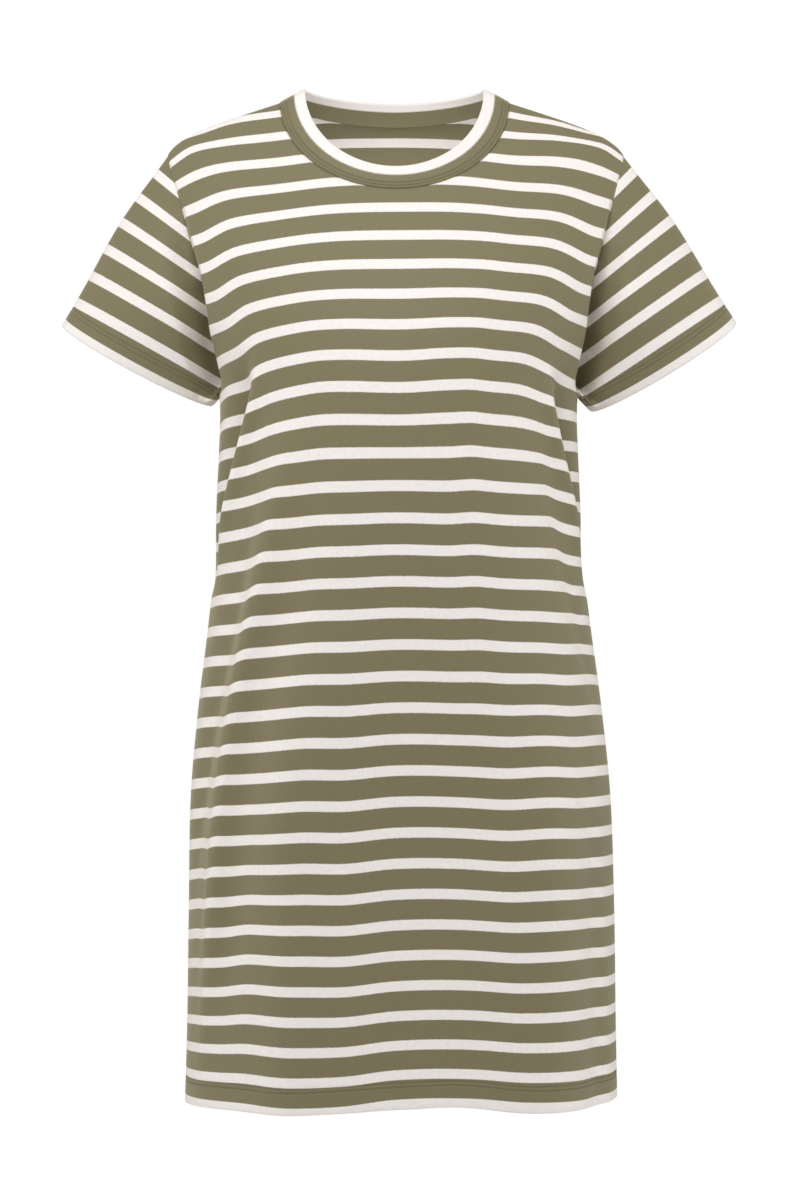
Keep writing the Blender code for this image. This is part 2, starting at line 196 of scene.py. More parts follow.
# Armhole: height, degrees round the ring in front, and behind
ARMHOLE = (
    (-0.2540, 90.0, 90.0),
    (-0.2517, 82.0, 83.0),
    (-0.2450, 76.5, 78.5),
    (-0.2340, 75.0, 76.0),
    (-0.2121, 71.0, 73.0),
    (-0.1847, 64.0, 69.0),
    (-0.1534, 59.3, 62.5),
    (-0.1195, 60.6, 61.5),
    (-0.0825, 63.0, 62.5),
    (-0.0582, 65.8, 66.0),
    (-0.0444, 67.6, 67.6),
)

# Hem's height against HEM: degrees round from the centre front, rise
HEM_WAVE = (
    (-180, 0.0000), (-140, 0.0030), (-90, 0.0005), (-62, 0.0017), (-45, 0.0021),
    (-28, 0.0014), (-12, 0.0038), (0, 0.0068), (13, 0.0080), (30, 0.0027),
    (48, 0.0021), (62, 0.0029), (90, 0.0050), (140, 0.0030), (180, 0.0000),
)

# Folds: degrees round from the centre front at the top, middle and bottom, heights of
# these, how far the fold stands out, half width in degrees
FOLDS = (
    (-41, -57, -76, -0.205, -0.300, -0.425, 0.0085, 4.5),
    (-50, -66, -90, -0.212, -0.300, -0.435, -0.0190, 7.0),
    (-112, -115, -118, -0.270, -0.345, -0.420, 0.0065, 15.0),
    (48, 59, 79, -0.215, -0.300, -0.425, 0.0085, 4.5),
    (57, 68, 92, -0.225, -0.300, -0.435, -0.0180, 7.0),
    (112, 115, 118, -0.270, -0.345, -0.420, 0.0055, 15.0),
    (-30, -48, -67, -0.250, -0.480, -0.900, 0.0062, 5.2),
    (-41, -59, -77, -0.250, -0.450, -0.740, -0.0055, 6.0),
    (-19, -36, -55, -0.280, -0.500, -0.860, -0.0038, 7.0),
    (47, 60, 78, -0.270, -0.400, -0.560, -0.0030, 7.0),
    (64, 68, 72, -0.500, -0.720, -0.960, 0.0022, 5.0),
    (-28, -28, -27, -0.420, -0.700, -1.000, 0.0085, 10.5),
    (8, 9, 10, -0.450, -0.775, -1.100, -0.0060, 14.0),
    (40, 42, 44, -0.450, -0.775, -1.100, 0.0060, 12.0),
    (62, 64, 66, -0.480, -0.790, -1.100, -0.0040, 9.0),
    (150, 148, 146, -0.330, -0.715, -1.100, 0.0060, 12.0),
    (174, 176, 178, -0.400, -0.750, -1.100, -0.0050, 14.0),
    (-154, -151, -148, -0.360, -0.730, -1.100, 0.0055, 13.0),
    (-122, -124, -126, -0.420, -0.760, -1.100, -0.0045, 11.0),
    (128, 126, 124, -0.450, -0.775, -1.100, -0.0040, 10.0),
)


def read(table, key, column=1):
    """Value of a table's column at each key, on a smooth curve through its rows."""
    rows = np.array(table if table[0][0] < table[-1][0] else table[::-1], float)
    at, value = rows[:, 0], rows[:, column]
    low = np.maximum(np.arange(len(at)) - 1, 0)
    high = np.minimum(np.arange(len(at)) + 1, len(at) - 1)
    slope = (value[high] - value[low]) / (at[high] - at[low])
    key = np.clip(key, at[0], at[-1])
    i = np.clip(np.searchsorted(at, key, side="right") - 1, 0, len(at) - 2)
    span = at[i + 1] - at[i]
    t = (key - at[i]) / span
    return ((2 * t**3 - 3 * t**2 + 1) * value[i] + (t**3 - 2 * t**2 + t) * span * slope[i]
            + (3 * t**2 - 2 * t**3) * value[i + 1] + (t**3 - t**2) * span * slope[i + 1])


def ease(share):
    """A soft step from 0 to 1."""
    share = np.clip(share, 0.0, 1.0)
    return share * share * (3 - 2 * share)


def fold_out(degrees, height):
    """How far the folds push the cloth out at places on the body."""
    out = np.zeros(np.broadcast(degrees, height).shape)
    for top_turn, middle_turn, low_turn, top, middle, low, stand, spread in FOLDS:
        line = ((top, top_turn), (middle, middle_turn), (low, low_turn))
        share = (top - height) / (top - low)
        away = (degrees - read(line, height) + 180.0) % 360.0 - 180.0
        strength = ease(share / RAMP) * ease((1.0 - share) / RAMP)
        out += stand * strength * np.exp(-(away / spread) ** 2)
    return out


def power(value, exponent):
    """A power that keeps the sign."""
    return np.sign(value) * np.abs(value) ** exponent


def unit(vectors):
    """Vectors brought to length 1."""
    return vectors / np.maximum(np.linalg.norm(vectors, axis=-1, keepdims=True), 1e-12)


def body_point(degrees, height, depth=0.0):
    """Places on the body's outer face, degrees round from the centre front, or at a
    depth inside it."""
    half = read(RINGS, height, 1)
    across, along = np.sin(np.radians(degrees)), np.cos(np.radians(degrees))
    deep = np.where(along >= 0.0, read(RINGS, height, 2), read(RINGS, height, 3))
    x = half * power(across, 2 / ROUNDNESS)
    y = -deep * power(along, 2 / ROUNDNESS)
    room = np.clip((read(SHOULDER_RIDGE, np.abs(x)) - height) / ROLL, 0.0, 1.0)
    y = y * np.sqrt(1.0 - (1.0 - room) ** 2)
    facing = unit(np.stack([power(across, 2 - 2 / ROUNDNESS) / half,
                            -power(along, 2 - 2 / ROUNDNESS) / deep, np.zeros_like(x)], -1))
    place = np.stack([x + read(RINGS, height, 4), y, np.broadcast_to(height, x.shape)], -1)
    return place + facing * (fold_out(degrees, height) - depth)[..., None]


def ring_reach(degrees, height):
    """How far to the side a direction meets the ring at a height."""
    return read(RINGS, height, 1) * np.sin(np.radians(degrees)) ** (2 / ROUNDNESS)


def ring_angle(x, height):
    """The direction that does so at a distance to the side."""
    share = np.clip(np.abs(x) / read(RINGS, height, 1), 0.0, 1.0)
    return np.sign(x) * np.degrees(np.arcsin(share ** (ROUNDNESS / 2)))


def crowded(count, crowd):
    """Shares from 0 to 1, closer together at both ends."""
    share = np.linspace(0.0, 1.0, count + 1)
    return share - crowd * np.sin(2 * np.pi * share) / (2 * np.pi)


def dent(distance, rows):
    """How deep rows of stitches pull the cloth in at a distance from its edge."""
    return SEW_DENT * sum(np.exp(-((distance - row) / SEW_WIDE) ** 2) for row in rows)


def panel_places(neckline, armhole_column, behind):
    """A body panel's outer places, rows from the turned-up hem's inner edge to the
    shoulder, columns from -X to +X, with each place's degrees and height."""
    side = crowded(SHOULDER_COLUMNS, SHOULDER_CROWD)
    turns = np.linspace(-90.0, 90.0, NECK_COLUMNS + 1)[1:-1]
    side_turn = 90.0 - (90.0 - NECK_ANGLE) * side
    columns = np.concatenate([-side_turn, turns * NECK_ANGLE / 90.0, side_turn[::-1]])
    reach = SHOULDER_HALF + (NECK_HALF - SHOULDER_HALF) * side
    neck_x, neck_height = neckline(turns)
    top_x = np.concatenate([-reach, neck_x, reach[::-1]])
    ridge = read(SHOULDER_RIDGE, reach)
    top_height = np.concatenate([ridge, neck_height, ridge[::-1]])
    around = 180.0 - columns if behind else columns
    low = HEM + read(HEM_WAVE, (around + 180.0) % 360.0 - 180.0)

    radius = HEM_FOLD / 2
    turn = np.linspace(np.pi, 0.0, HEM_ROWS // 2 + 1)
    inner = np.linspace(HEM_DEPTH, radius, HEM_ROWS // 2, endpoint=False)
    rise = np.concatenate([inner, radius - radius * np.sin(turn)])
    depth = np.concatenate([np.full(len(inner), HEM_FOLD), radius - radius * np.cos(turn)])
    along = np.concatenate([-inner, radius * (np.pi / 2 - turn)])
    hem = body_point(around[None, :], low[None, :] + rise[:, None], depth[:, None])
    degrees = [np.broadcast_to(around, hem.shape[:2])]
    heights = [low[None, :] + along[:, None]]

    across_sewing = np.linspace(*HEM_SEWING, SEW_ROWS)
    near = np.concatenate([np.linspace(radius, across_sewing[0], 5)[1:-1], across_sewing])
    start = low[None, :] + near[-1]
    share = np.linspace(0.0, 1.0, BODY_ROWS + 1)[1:-1, None]
    height = np.concatenate([low[None, :] + near[:, None], start + (ARMPIT - start) * share])
    body = body_point(np.broadcast_to(around, height.shape), height,
                      dent(height - low[None, :], HEM_STITCHES))
    degrees.append(np.broadcast_to(around, height.shape))
    heights.append(height)

    up = crowded(CHEST_ROWS, CHEST_CROWD)[:, None]
    side_height = ARMPIT + (SHOULDER_DROP - ARMPIT) * up
    side_reach = ring_reach(read(ARMHOLE, side_height, armhole_column), side_height)
    tip = ring_reach(read(ARMHOLE, SHOULDER_DROP, armhole_column), SHOULDER_DROP)
    low_share = power(np.sin(np.radians(columns)), 2 / ROUNDNESS)[None, :]
    share = low_share + (top_x[None, :] / tip - low_share) * up ** 2
    height = side_height + (top_height[None, :] - SHOULDER_DROP) * up
    turn = ring_angle(side_reach * share, height)
    turn = 180.0 - turn if behind else turn
    chest = body_point(turn, height)
    degrees.append(turn)
    heights.append(height)
    places = np.concatenate([hem, body, chest])
    return places, np.concatenate(degrees), np.concatenate(heights)


def front_neckline(turns):
    """The front's neck seam, across and up, by degrees from its middle."""
    turns = np.radians(turns)
    return NECK_HALF * np.sin(turns), NECK_TOP + (NECK_FRONT - NECK_TOP) * np.cos(turns)


def back_neckline(turns):
    """The back's neck seam in the same way."""
    turns = np.radians(turns)
    return NECK_HALF * np.sin(turns), NECK_TOP + (NECK_BACK - NECK_TOP) * np.cos(turns) ** 2


def lengths(places, axis):
    """Distance run along a grid's rows or columns, from their start."""
    steps = np.linalg.norm(np.diff(places, axis=axis), axis=-1)
    first = np.zeros_like(np.take(steps, [0], axis=axis))
    return np.concatenate([first, np.cumsum(steps, axis=axis)], axis=axis)


def facings(places, sign):
    """Outward direction at each place of a grid."""
    return unit(np.cross(np.gradient(places, axis=1), np.gradient(places, axis=0))) * sign


def pull_seams(places, sign):
    """The same grid with its sewn edges pulled in."""
    across, up = lengths(places, 1), lengths(places, 0)
    from_side = np.minimum(across, across[:, -1:] - across)
    dip = np.maximum(np.exp(-(from_side / SEAM_WIDE) ** 2),
                     np.exp(-((up[-1:] - up) / SEAM_WIDE) ** 2))
    out = facings(places, sign)
    out[:HEM_ROWS + 1] = out[HEM_ROWS + 1]
    return places - out * (SEAM_DIP * dip)[..., None]


def tuck(height):
    """How far the lower armhole seam lies behind the front's rolled edge."""
    return TUCK * ease((height - TUCK_LOW) / TUCK_START) * ease((TUCK_TOP - height) / TUCK_FADE)


def make_cloth(name, places, across, count, sign):
    """A thin shell through a grid of places, with the stripes' count in its UV."""
    rows, columns = places.shape[:2]
    mesh = bmesh.new()
    bmesh.ops.create_grid(mesh, x_segments=columns - 1, y_segments=rows - 1, size=0.5)
    if sign < 0:
        bmesh.ops.reverse_faces(mesh, faces=mesh.faces)
    mesh.verts.ensure_lookup_table()
    for vert, place in zip(mesh.verts, places.reshape(-1, 3)):
        vert.co = place
    chart = np.stack([across, count], -1).reshape(-1, 2)
    layer = mesh.loops.layers.uv.new("cloth")
    for face in mesh.faces:
        for loop in face.loops:
            loop[layer].uv = chart[loop.vert.index]
    bmesh.ops.remove_doubles(mesh, verts=mesh.verts, dist=1e-6)
    data = bpy.data.meshes.new(name)
    mesh.to_mesh(data)
    mesh.free()
    data.shade_smooth()
    data.materials.append(striped)
    piece = bpy.data.objects.new(name, data)
    bpy.context.scene.collection.objects.link(piece)
    wall = piece.modifiers.new("wall", "SOLIDIFY")
    wall.thickness = CLOTH
    wall.offset = -1.0
    return piece


# How many millimetres the front's stripes lie above an even count from the hem:
# degrees round, then the rise at each of these heights
SAG_HEIGHTS = (-0.86, -0.75, -0.60, -0.46, -0.35, -0.24, -0.13, -0.060, -0.036, -0.018, 0.0)
FRONT_SAG = (
    (-90, -1, -16, -18, -16, -21, -26, -28, -34, -47, -60, -80),
    (-70, -2, -12, -14, -14, -14, -18, -20, -27, -41, -60, -80),
    (-54, -2, -10, -12, -12, -9, -11, -17, -13, -17, -40, -57),
    (-40, -2, -5, -9, -6, -3, 1, -4, -5, -8, -15, -24),
    (-24, -3, -5, -5, -2, 1, 8, 4, -1, -3, -6, -12),
    (-12, -3, -7, -7, -3, 0, 7, 6, 2, 0, -4, -9),
    (0, 0, -5, -6, -4, -2, 3, 4, 1, -1, -4, -8),
    (12, -1, -6, -8, -6, -4, 4, 3, -1, -3, -6, -11),
    (22, 0, -5, -7, -3, 0, 7, 4, -2, -4, -9, -15),
    (38, 0, -3, -3, -2, 1, 7, 3, -1, -2, -17, -35),
    (54, -1, -3, -5, -4, -1, -4, -11, -8, -11, -45, -70),
    (70, -1, -5, -6, -6, -11, -13, -15, -19, -36, -60, -80),
    (90, -1, -6, -8, -11, -15, -18, -19, -22, -36, -60, -80),
)

# Creases that kink the stripes: degrees round at the top, middle and bottom, heights of
# these, how far the stripes drop on the outer side
CREASES = (
    (-34, -49, -66, -0.250, -0.470, -0.820, 0.0038),
    (46, 57, 74, -0.250, -0.370, -0.500, 0.0025),
)
CREASE_WIDE = 8.0           # degrees over which the stripes drop
CREASE_EVEN = 24.0          # degrees over which they are level again


def crease_drop(degrees, height):
    """How far the creases drop the stripes at places on the body."""
    drop = np.zeros(degrees.shape)
    for top_turn, middle_turn, low_turn, top, middle, low, fall in CREASES:
        share = (top - height) / (top - low)
        line = read(((top, top_turn), (middle, middle_turn), (low, low_turn)), height)
        away = (np.abs(degrees) - np.abs(line)) * (np.sign(degrees) == math.copysign(1, top_turn))
        strength = ease(share / RAMP) * ease((1.0 - share) / RAMP)
        drop += fall * strength * (ease(0.5 + away / CREASE_WIDE) - ease(0.5 + away / CREASE_EVEN))
    return drop


def stripe_count(degrees, height, sag):
    """How many white stripes lie between the hem and places on the body."""
    low = HEM + read(HEM_WAVE, (degrees + 180.0) % 360.0 - 180.0)
    rise = np.zeros(degrees.shape)
    for column, level in enumerate(SAG_HEIGHTS, start=1):
        share = read([(other, float(other == level)) for other in SAG_HEIGHTS], height)
        rise += share * read(sag, degrees, column) / 1000.0
    return (height - low - WHITE_EDGE - rise + crease_drop(degrees, height)) / STRIPE_PITCH


# The sewing thread: olive cotton, laid as single stitches along guides
STITCH_STEP = 0.0030        # from one stitch to the next
STITCH_HALF = 0.00125       # half of a stitch's length
THREAD = 0.00021            # half of the thread's thickness
THREAD_OLIVE = (0.150, 0.130, 0.072, 1.0)


def cotton_thread():
    """Twisted olive thread, a little darker than the jersey."""
    thread = bpy.data.materials.new("olive_thread")
    thread.use_nodes = True
    tree = thread.node_tree
    shader = tree.nodes["Principled BSDF"]
    place = node(tree, "ShaderNodeTexCoord").outputs["Object"]
    twist = node(tree, "ShaderNodeTexNoise", [("Vector", place), ("Scale", 2600.0), ("Detail", 1.0)])
    light = tuple(1.5 * value for value in THREAD_OLIVE[:3]) + (1.0,)
    colour = node(tree, "ShaderNodeMix", [(0, twist.outputs[0]), (6, THREAD_OLIVE), (7, light)],
                  data_type="RGBA")
    tree.links.new(colour.outputs[2], shader.inputs["Base Color"])
    shader.inputs["Roughness"].default_value = 0.70
    shader.inputs["Specular IOR Level"].default_value = 0.30
    return thread


olive_thread = cotton_thread()


def sew(name, rows):
    """Stitches of thread along rows of places, joined into one piece."""
    sewn = bmesh.new()
    for row in rows:
        line = bpy.data.curves.new("row", "CURVE")
        line.dimensions = "3D"
        spline = line.splines.new("POLY")
        spline.points.add(len(row) - 1)
        for point, place in zip(spline.points, row):
            point.co = (*place, 1.0)
        guide = bpy.data.objects.new("row", line)
        one = bmesh.new()
        bmesh.ops.create_uvsphere(one, u_segments=6, v_segments=5, radius=1.0)
        bmesh.ops.rotate(one, verts=one.verts, matrix=Matrix.Rotation(math.pi / 2, 3, "Y"))
        bmesh.ops.scale(one, verts=one.verts, vec=(STITCH_HALF, THREAD, THREAD))
        bmesh.ops.translate(one, verts=one.verts, vec=(STITCH_HALF, 0.0, 0.0))
        stitch = bpy.data.meshes.new("stitch")
        one.to_mesh(stitch)
        one.free()
        run = bpy.data.objects.new("stitches", stitch)
        for placed in (guide, run):
            bpy.context.scene.collection.objects.link(placed)
        repeat = run.modifiers.new("repeat", "ARRAY")
        repeat.use_relative_offset = False
        repeat.use_constant_offset = True
        repeat.constant_offset_displace = (STITCH_STEP, 0.0, 0.0)
        repeat.count = int(lengths(row[None], 1)[0, -1] / STITCH_STEP)
        follow = run.modifiers.new("follow", "CURVE")
        follow.object = guide
        graph = bpy.context.evaluated_depsgraph_get()
        shaped = bpy.data.meshes.new_from_object(run.evaluated_get(graph))
        sewn.from_mesh(shaped)
        for spare in (run, guide):
            bpy.data.objects.remove(spare)
    data = bpy.data.meshes.new(name)
    sewn.to_mesh(data)
    sewn.free()
    data.shade_smooth()
    data.materials.append(olive_thread)
    piece = bpy.data.objects.new(name, data)
    bpy.context.scene.collection.objects.link(piece)
    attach(piece, "root")
    return piece


def hem_rows(first, last):
    """Lines of the hem's rows of stitches between two directions, outside and inside."""
    around = np.linspace(first, last, 241)
    low = HEM + read(HEM_WAVE, (around + 180.0) % 360.0 - 180.0)
    return [body_point(around, low + row, depth)
            for row in HEM_STITCHES for depth in (SEW_DENT / 2, HEM_FOLD + THREAD)]


front_places, front_turn, front_height = panel_places(front_neckline, 1, behind=False)
front_across = lengths(front_places, 1) - lengths(front_places, 1)[:, -1:] / 2
from_side = np.abs(front_across[:, :1]) - np.abs(front_across)
front_places = pull_seams(front_places, 1)
armhole_front = front_places.copy()
front_places[..., 1] += tuck(front_height) * ease(1.0 - from_side / TUCK_ROLL)
front = make_cloth("front_panel", front_places, front_across,
                   stripe_count(front_turn, front_height, FRONT_SAG), 1)
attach(front, "root")
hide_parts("front")
front_sewing = sew("front_hem_stitches", hem_rows(-89.6, 89.6))


# Back: one panel of the same jersey, cut higher at the neck. It is sewn to the front at
# the shoulders and sides, with its hem turned up in the same round of stitching.

# The back's stripes in the same way, meeting the front's at the side seams
BACK_SAG = (
    (90, -1, -6, -8, -11, -15, -18, -19, -22, -36, -60, -80),
    (112, 0, -4, -5, -7, -11, -13, -14, -14, -14, -14, -14),
    (140, 0, -3, -5, -5, -5, -4, -5, -6, -6, -6, -6),
    (160, 0, -4, -5, -5, -3, -2, -1, 2, 5, 7, 7),
    (180, 0, -4, -5, -4, -1, 1, 2, 6, 10, 11, 11),
    (200, 0, -5, -6, -6, -3, -2, -2, 2, 5, 7, 7),
    (218, -1, -6, -7, -7, -6, -4, -8, -11, -12, -12, -12),
    (246, -1, -11, -13, -12, -14, -16, -20, -24, -25, -25, -25),
    (270, -1, -16, -18, -16, -21, -26, -28, -34, -47, -60, -80),
)

back_places, back_turn, back_height = panel_places(back_neckline, 2, behind=True)
over_shoulder = lengths(back_places[-CHEST_ROWS - 1:] * (0.0, 1.0, 1.0), 0)
back_places = pull_seams(back_places, -1)
back_across = lengths(back_places, 1) - lengths(back_places, 1)[:, -1:] / 2
back_count = stripe_count(back_turn, back_height, BACK_SAG)
rolled = over_shoulder - (back_height[-CHEST_ROWS - 1:] - back_height[-CHEST_ROWS - 1])
back_count[-CHEST_ROWS - 1:] += rolled / STRIPE_PITCH
back = make_cloth("back_panel", back_places, back_across, back_count, -1)
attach(back, "root")
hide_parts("back")
back_sewing = sew("back_hem_stitches", hem_rows(90.4, 269.6))


# Left sleeve: a short jersey sleeve, sewn into a tube under the arm and set into the
# armhole, with its end turned up inside and twin-needle stitched.

SLEEVE_END_DEPTH = 0.0330   # half of the depth of a sleeve's open end
SLEEVE_EDGE = 0.0036        # from a sleeve's edge to the middle of its white stripe
SLEEVE_TILT = 0.25          # how much steeper the stripes run near the shoulder
SLEEVE_LENGTH = 0.160       # from the end to the top of the armhole
SLEEVE_ROUND = 0.38         # length of the cloth round a sleeve
UNDERARM_DIP = 0.0005       # how deep the underarm seam pulls the cloth in
SWELL_LENGTH = 0.070        # cloth shorter than this swells less
SHORT_HEM = 0.7             # share of a short wall that is turned up at most
SLEEVE_ROWS = 70            # rows from the armhole to the sewing
SLEEVE_CROWD = 0.30         # how much closer these lie at their ends
SLEEVE_END_ROWS = 38        # rows in the last stretch, across the sewing
SLEEVE_HEM_ROWS = 10        # rows round the turned-up end
SLEEVE_STITCHES = (0.0155, 0.0190)  # distances of the twin rows of stitches from the end

# Sleeve's swell and dip: share of the way from the armhole, degrees round
# from the underarm (front is 90), how far it stands out, spread in share, in degrees
SLEEVE_SWELLS = (
    (0.35, 180, 0.0045, 0.40, 60),
    (0.30, 55, -0.0060, 0.35, 35),
    (0.30, 300, -0.0040, 0.35, 35),
    (0.60, 120, 0.0030, 0.40, 30),
    (0.60, 240, 0.0030, 0.40, 30),
)


def sleeve_places(side, end_x, end_height, half, drop, bow, pitch, lean):
    """A sleeve's outer places, rows from the armhole round the turned-up end to its
    inner edge, columns round from the underarm over the front, shoulder and back.
    With them come the columns' degrees, the stripes' count and the lines of stitches.
    The open end slopes at drop degrees, is half wide to each side of its middle and
    bows out by bow. The stripes repeat every pitch and lean against the end by lean."""
    column = -1 if side > 0 else 0
    chest = -(CHEST_ROWS + 1)
    start = np.concatenate([armhole_front[chest:, column], back_places[chest:, column][::-1][1:]])
    at_front = np.arange(len(start)) <= CHEST_ROWS
    drawn = np.where(at_front, tuck(start[:, 2]), 0.0)
    degrees = lengths(start[None], 1)[0]
    degrees = 360.0 * degrees / degrees[-1]
    turn = np.radians(degrees)[:, None]
    drop = math.radians(drop)
    inwards = np.array([-math.cos(drop) * side, 0.0, -math.sin(drop)])
    outwards = np.array([math.sin(drop) * side, 0.0, -math.cos(drop)])
    deep = np.array([0.0, -SLEEVE_END_DEPTH, 0.0])
    middle = np.array([end_x * side, 0.0, end_height])
    end = middle + inwards * np.cos(turn) * half + outwards * np.sin(turn) * bow + deep * np.sin(turn)
    facing = unit(inwards * np.cos(turn) / half
                  + np.array([0.0, -1.0, 0.0]) * np.sin(turn) / SLEEVE_END_DEPTH)
    long = np.linalg.norm(end - start, axis=-1)

    def wall(share):
        """Places at shares of the way from the armhole to the end."""
        swell = np.zeros(np.broadcast(share, degrees).shape)
        for place, around, stand, spread, wide in SLEEVE_SWELLS:
            swell += (stand * np.exp(-((share - place) / spread) ** 2)
                      * np.exp(-((degrees - around) / wide) ** 2))
        from_seam = np.minimum(degrees, 360.0 - degrees) / 360.0 * SLEEVE_ROUND
        swell = swell * 4 * share * (1 - share) * ease(long / SWELL_LENGTH)
        swell = swell - UNDERARM_DIP * np.exp(-(from_seam / SEAM_WIDE) ** 2)
        valley = drawn * ease(1.0 - share * np.maximum(1.0, long / TUCK_VALLEY))
        behind = np.stack([valley * 0.0, valley, valley * 0.0], -1)
        return start + (end - start) * share[..., None] + facing * swell[..., None] + behind

    radius = HEM_FOLD / 2
    last = np.minimum(HEM_DEPTH, SHORT_HEM * long)
    far = crowded(SLEEVE_ROWS, SLEEVE_CROWD)[:-1, None]
    near = np.linspace(0.0, 1.0, SLEEVE_END_ROWS)[:, None]
    distance = np.concatenate([long - (long - last) * far, last + (radius - last) * near])
    rows = wall(1.0 - distance / long) - facing * dent(distance, SLEEVE_STITCHES)[..., None]
    bend = np.linspace(0.0, np.pi, SLEEVE_HEM_ROWS // 2 + 1)[1:, None]
    bent = wall(1.0 - (radius - radius * np.sin(bend)) / long[None, :])
    bent = bent - facing * (radius - radius * np.cos(bend))[..., None]
    back_in = np.linspace(radius, last, SLEEVE_HEM_ROWS // 2 + 1)[1:]
    under = wall(1.0 - back_in / long[None, :])
    inwards_of_wall = facings(under, side)
    inner = under - inwards_of_wall * HEM_FOLD
    places = np.concatenate([rows, bent, inner])
    run = (end - rows) @ outwards
    straight = bow * (1.0 - np.abs(np.sin(turn[:, 0]))) * ease(run / HEM_DEPTH)
    inward = half + (rows - middle) @ inwards
    tilt = (SLEEVE_TILT * (run / SLEEVE_LENGTH) ** 2 + lean * ease(run / HEM_DEPTH)) * inward
    from_end = np.concatenate([run + straight + tilt,
                               np.broadcast_to(radius * (np.pi / 2 - bend), bent.shape[:2]),
                               -back_in])
    sewing = []
    for row in SLEEVE_STITCHES:
        line = wall((1.0 - row / long)[None, :])[0]
        sewing += [line - facing * SEW_DENT / 2, line - facing * (HEM_FOLD + THREAD)]
    return places, degrees, (from_end - SLEEVE_EDGE) / pitch, sewing


def make_sleeve(name, node_name, side, **shape):
    """One sleeve with its sewing; side is 1 for +X and -1 for -X."""
    places, degrees, count, sewing = sleeve_places(side, **shape)
    across = np.broadcast_to(degrees / 360.0 * SLEEVE_ROUND, places.shape[:2])
    sleeve = make_cloth(name, places, across, count, -side)
    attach(sleeve, "root")
    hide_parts(node_name)
    stitches = sew(name + "_stitches", sewing)


make_sleeve("left_sleeve", "sleeve_left", side=1, end_x=0.2303, end_height=-0.2280,
            half=0.0745, drop=31.5, bow=0.0085, pitch=0.0275, lean=0.035)


# Right sleeve: the same piece mirrored and sewn in the same way. As worn, its end hangs a
# little nearer to the body and a little higher, and its opening slants less.

make_sleeve("right_sleeve", "sleeve_right", side=-1, end_x=0.2271, end_height=-0.2268,
            half=0.0745, drop=28.3, bow=0.0075, pitch=0.0268, lean=0.012)


# Neckband: a crosswise strip of the same jersey, folded double with white at its fold,
# sewn into the neck edge and topstitched twice just above the seam.

BAND_HALF = 0.0779          # half of the width between the band's folded edges
BAND_SIDE = 0.0140          # height of the folded edge at the shoulder
BAND_FRONT = -0.0591        # height of the folded edge at the centre front
BAND_BACK = 0.0088          # height of the folded edge at the centre back
BAND_LEAN = 0.87            # how far the folded edge stays out from the middle
BAND_SWELL = 0.0012         # how far the band's middle stands out
BAND_RISE = 5.0             # how soon it does so above the seam
BAND_INSIDE = 0.3           # share of the swell on its inner side
BAND_FOLD = 0.0026          # thickness of the folded band
BAND_STITCHES = (0.0030, 0.0060)    # distances of the topstitching from the seam
BAND_ROWS = 34              # rows from the seam to the fold
BAND_WHITE = 0.0098         # white on the band's outer side, from its fold
BAND_WHITE_INSIDE = 0.0079  # white on its inner side

neck_front = front_places[-1, SHOULDER_COLUMNS:-SHOULDER_COLUMNS]
neck_back = back_places[-1, SHOULDER_COLUMNS:-SHOULDER_COLUMNS]
seam = np.concatenate([neck_front, neck_back[::-1][1:]])
turn = np.radians(np.concatenate([np.linspace(-90.0, 90.0, NECK_COLUMNS + 1),
                                  np.linspace(90.0, -90.0, NECK_COLUMNS + 1)[1:]]))
at_front = np.arange(len(turn)) <= NECK_COLUMNS
edge_height = np.where(at_front, BAND_SIDE + (BAND_FRONT - BAND_SIDE) * np.cos(turn),
                       BAND_SIDE + (BAND_BACK - BAND_SIDE) * np.cos(turn) ** 2)
edge = np.stack([BAND_HALF * np.sin(turn) + read(RINGS, edge_height, 4),
                 seam[:, 1] * BAND_LEAN, edge_height], -1)
along = unit(np.roll(seam, -1, axis=0) - np.roll(seam, 1, axis=0))
out = unit(np.cross(along, edge - seam))
band_width = np.linalg.norm(edge - seam, axis=-1).mean()
share = np.linspace(0.0, 1.0 - BAND_FOLD / 2 / band_width, BAND_ROWS + 1)
swell = BAND_SWELL * np.sin(np.pi * np.minimum(share * BAND_RISE, 0.5 + share / 2))
swell = swell - dent(share * band_width, BAND_STITCHES)
outer = seam + (edge - seam) * share[:, None, None] + out * swell[:, None, None]
bend = np.linspace(0.0, np.pi, 9)[1:-1, None, None]
round_share = 1.0 - (BAND_FOLD / 2 - BAND_FOLD / 2 * np.sin(bend)) / band_width
fold = seam + (edge - seam) * round_share - out * (BAND_FOLD / 2 - BAND_FOLD / 2 * np.cos(bend))
inner = (seam + (edge - seam) * share[::-1, None, None]
         + out * (swell[::-1, None, None] * BAND_INSIDE - BAND_FOLD))
band_places = np.concatenate([outer, fold, inner])
from_fold = np.concatenate([(1.0 - share) * band_width, np.zeros(len(fold)),
                            (1.0 - share[::-1]) * band_width])
white = np.where(np.arange(len(from_fold)) <= BAND_ROWS, BAND_WHITE, BAND_WHITE_INSIDE)
band_count = np.broadcast_to((from_fold * WHITE_HALF / white)[:, None], band_places.shape[:2])
neckband = make_cloth("folded_neckband", band_places, lengths(band_places, 1), band_count, 1)
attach(neckband, "root")
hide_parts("neckband")

band_sewing = []
for row in BAND_STITCHES:
    line = seam + (edge - seam) * (row / band_width)
    for stand in (BAND_SWELL, BAND_SWELL * BAND_INSIDE - BAND_FOLD):
        band_sewing.append(line + out * stand)
topstitching = sew("neckband_stitches", band_sewing)


# Floor, light and camera: a pale studio floor under the dress and white surroundings, with
# soft boxes above, at both sides and behind, and a small lamp inside the dress for the back
# of its neck. The camera is level and square to the front.

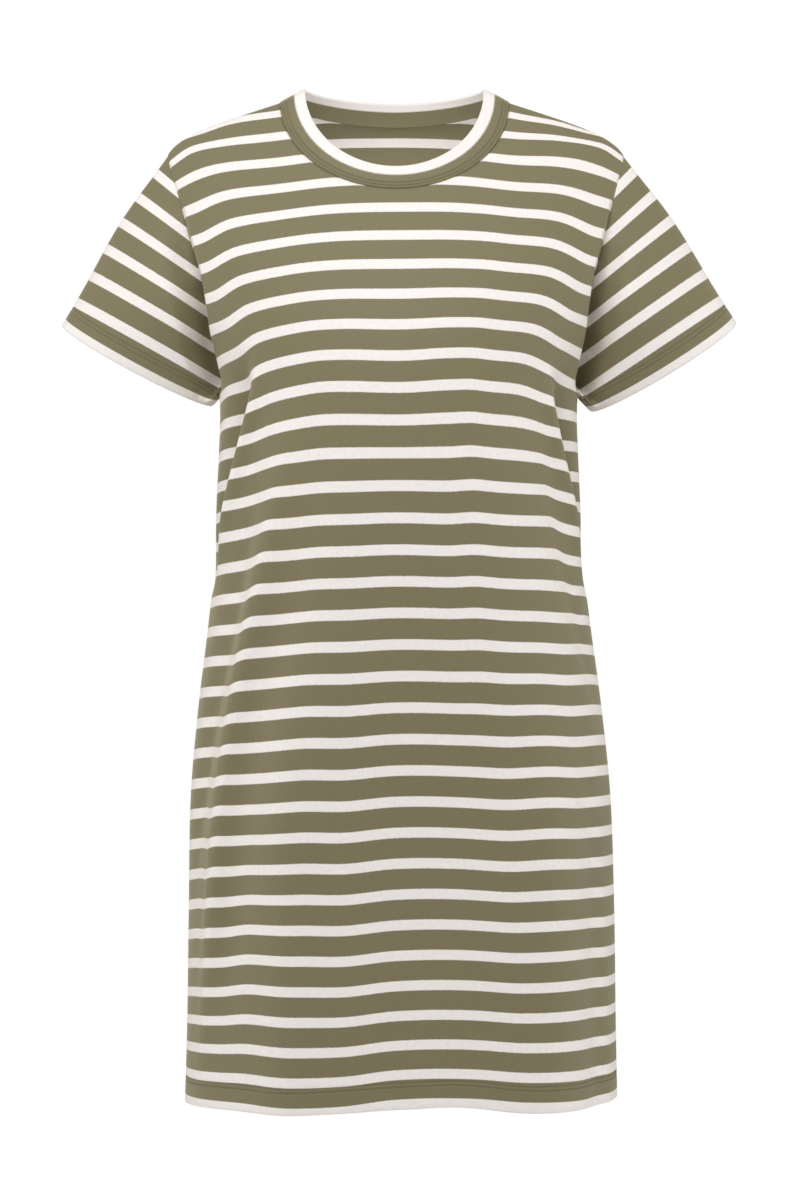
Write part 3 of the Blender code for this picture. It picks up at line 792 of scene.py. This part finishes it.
FLOOR_RADIUS = 2.4
FLOOR_HEIGHT = -1.40
FLOOR_PALE = (0.82, 0.82, 0.81, 1.0)
AROUND = (1.0, 1.0, 1.0, 1.0)
AROUND_LIT = 0.33           # how strongly the surroundings light the dress

floor_mesh = bmesh.new()
bmesh.ops.create_circle(floor_mesh, cap_ends=True, segments=96, radius=FLOOR_RADIUS)
bmesh.ops.translate(floor_mesh, verts=floor_mesh.verts, vec=(0.0, 0.0, FLOOR_HEIGHT))
floor_data = bpy.data.meshes.new("floor")
floor_mesh.to_mesh(floor_data)
floor_mesh.free()
floor = bpy.data.objects.new("floor", floor_data)
bpy.context.scene.collection.objects.link(floor)
paint = bpy.data.materials.new("pale_floor")
paint.use_nodes = True
floor_shader = paint.node_tree.nodes["Principled BSDF"]
floor_shader.inputs["Base Color"].default_value = FLOOR_PALE
floor_shader.inputs["Roughness"].default_value = 0.9
floor_data.materials.append(paint)

world = bpy.data.worlds.new("studio")
bpy.context.scene.world = world
world.use_nodes = True
surroundings = world.node_tree
surroundings.nodes.clear()
seen = node(surroundings, "ShaderNodeBackground", [("Color", AROUND), ("Strength", 1.0)])
lit = node(surroundings, "ShaderNodeBackground", [("Color", AROUND), ("Strength", AROUND_LIT)])
ray = node(surroundings, "ShaderNodeLightPath")
both = node(surroundings, "ShaderNodeMixShader",
            [(0, ray.outputs["Is Camera Ray"]), (1, lit.outputs[0]), (2, seen.outputs[0])])
node(surroundings, "ShaderNodeOutputWorld", [(0, both.outputs[0])])


def soft_box(name, place, aim, size, watts):
    """A square lamp at a place, turned to what it lights."""
    lamp = bpy.data.lights.new(name, "AREA")
    lamp.shape = "SQUARE"
    lamp.size = size
    lamp.energy = watts
    box = bpy.data.objects.new(name, lamp)
    box.location = place
    box.rotation_euler = (Vector(aim) - Vector(place)).to_track_quat("-Z", "Y").to_euler()
    bpy.context.scene.collection.objects.link(box)


soft_box("above", (-0.2, -1.6, 1.30), (0.0, 0.0, -0.15), 1.0, 33)
soft_box("left", (-2.6, -0.6, -0.3), (0.0, 0.0, -0.50), 1.6, 18)
soft_box("right", (2.6, -0.6, -0.3), (0.0, 0.0, -0.50), 1.6, 20)
soft_box("behind", (0.0, 2.8, 0.6), (0.0, 0.0, -0.40), 1.6, 40)
soft_box("neck", (0.0, -0.03, -0.15), (0.0, 0.09, -0.03), 0.06, 0.14)

camera_data = bpy.data.cameras.new("camera")
camera_data.lens = 103.45
camera_data.sensor_width = 36.0
camera = bpy.data.objects.new("camera", camera_data)
camera.location = (0.0013, -3.0, -0.43065)
camera.rotation_euler = (math.radians(90.0), 0.0, 0.0)
bpy.context.scene.collection.objects.link(camera)
bpy.context.scene.camera = camera
bpy.context.scene.view_settings.view_transform = "Standard"
